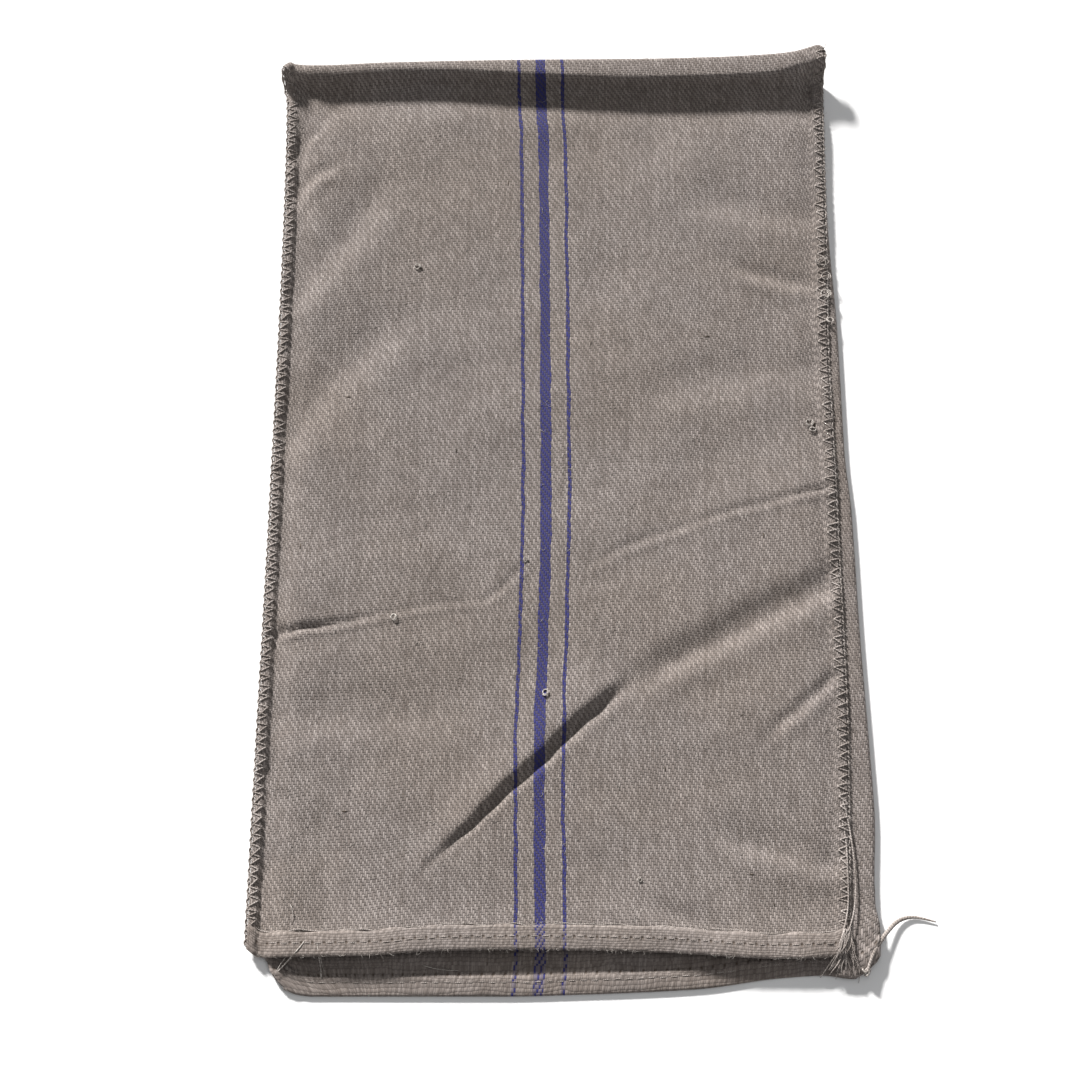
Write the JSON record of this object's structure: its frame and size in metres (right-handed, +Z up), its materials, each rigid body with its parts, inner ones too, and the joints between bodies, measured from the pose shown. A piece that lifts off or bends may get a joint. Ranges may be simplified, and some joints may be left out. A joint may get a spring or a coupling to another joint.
{
  "type": "sack race bag",
  "caption": "Flat-lying woven jute sack with an open hemmed mouth, a folded closed end, overcast side seams, blue warp stripes and loose thread ends.",
  "frame": {"origin": "centre of the underside of the whole sack as it lies flat, loose thread ends left out", "axes": "+Z up out of the ground, +Y along the sack from its mouth to its closed end, +X across it to the right of someone at the mouth"},
  "size_m": [0.7675, 1.174, 0.0318],
  "materials": {
    "jute_cloth": "matte",
    "jute_hem": "matte",
    "blue_yarn": "matte",
    "jute_thread": "matte"
  },
  "bodies": {
    "root": {"front_panel": "jute_cloth", "back_panel": "jute_cloth", "closed_end_fold": "jute_cloth", "front_left_selvedge": "jute_cloth", "front_right_selvedge": "jute_cloth", "back_left_selvedge": "jute_cloth", "back_right_roll": "jute_cloth", "front_mouth_hem": "jute_hem", "back_mouth_hem": "jute_hem", "left_stripe_yarns": "blue_yarn", "centre_stripe_yarns": "blue_yarn", "right_stripe_yarns": "blue_yarn", "front_hem_stitches": "jute_thread", "back_hem_stitches": "jute_thread", "left_overcast_stitches": "jute_thread", "right_overcast_stitches": "jute_thread", "left_purl_thread": "jute_thread", "right_purl_thread": "jute_thread", "right_seam_tail_long": "jute_thread", "right_seam_tail_short": "jute_thread", "seam_end_knot": "jute_thread", "mouth_corner_twine": "jute_thread", "left_hem_tail_long": "jute_thread", "left_hem_tail_short": "jute_thread"}
  },
  "joints": []
}
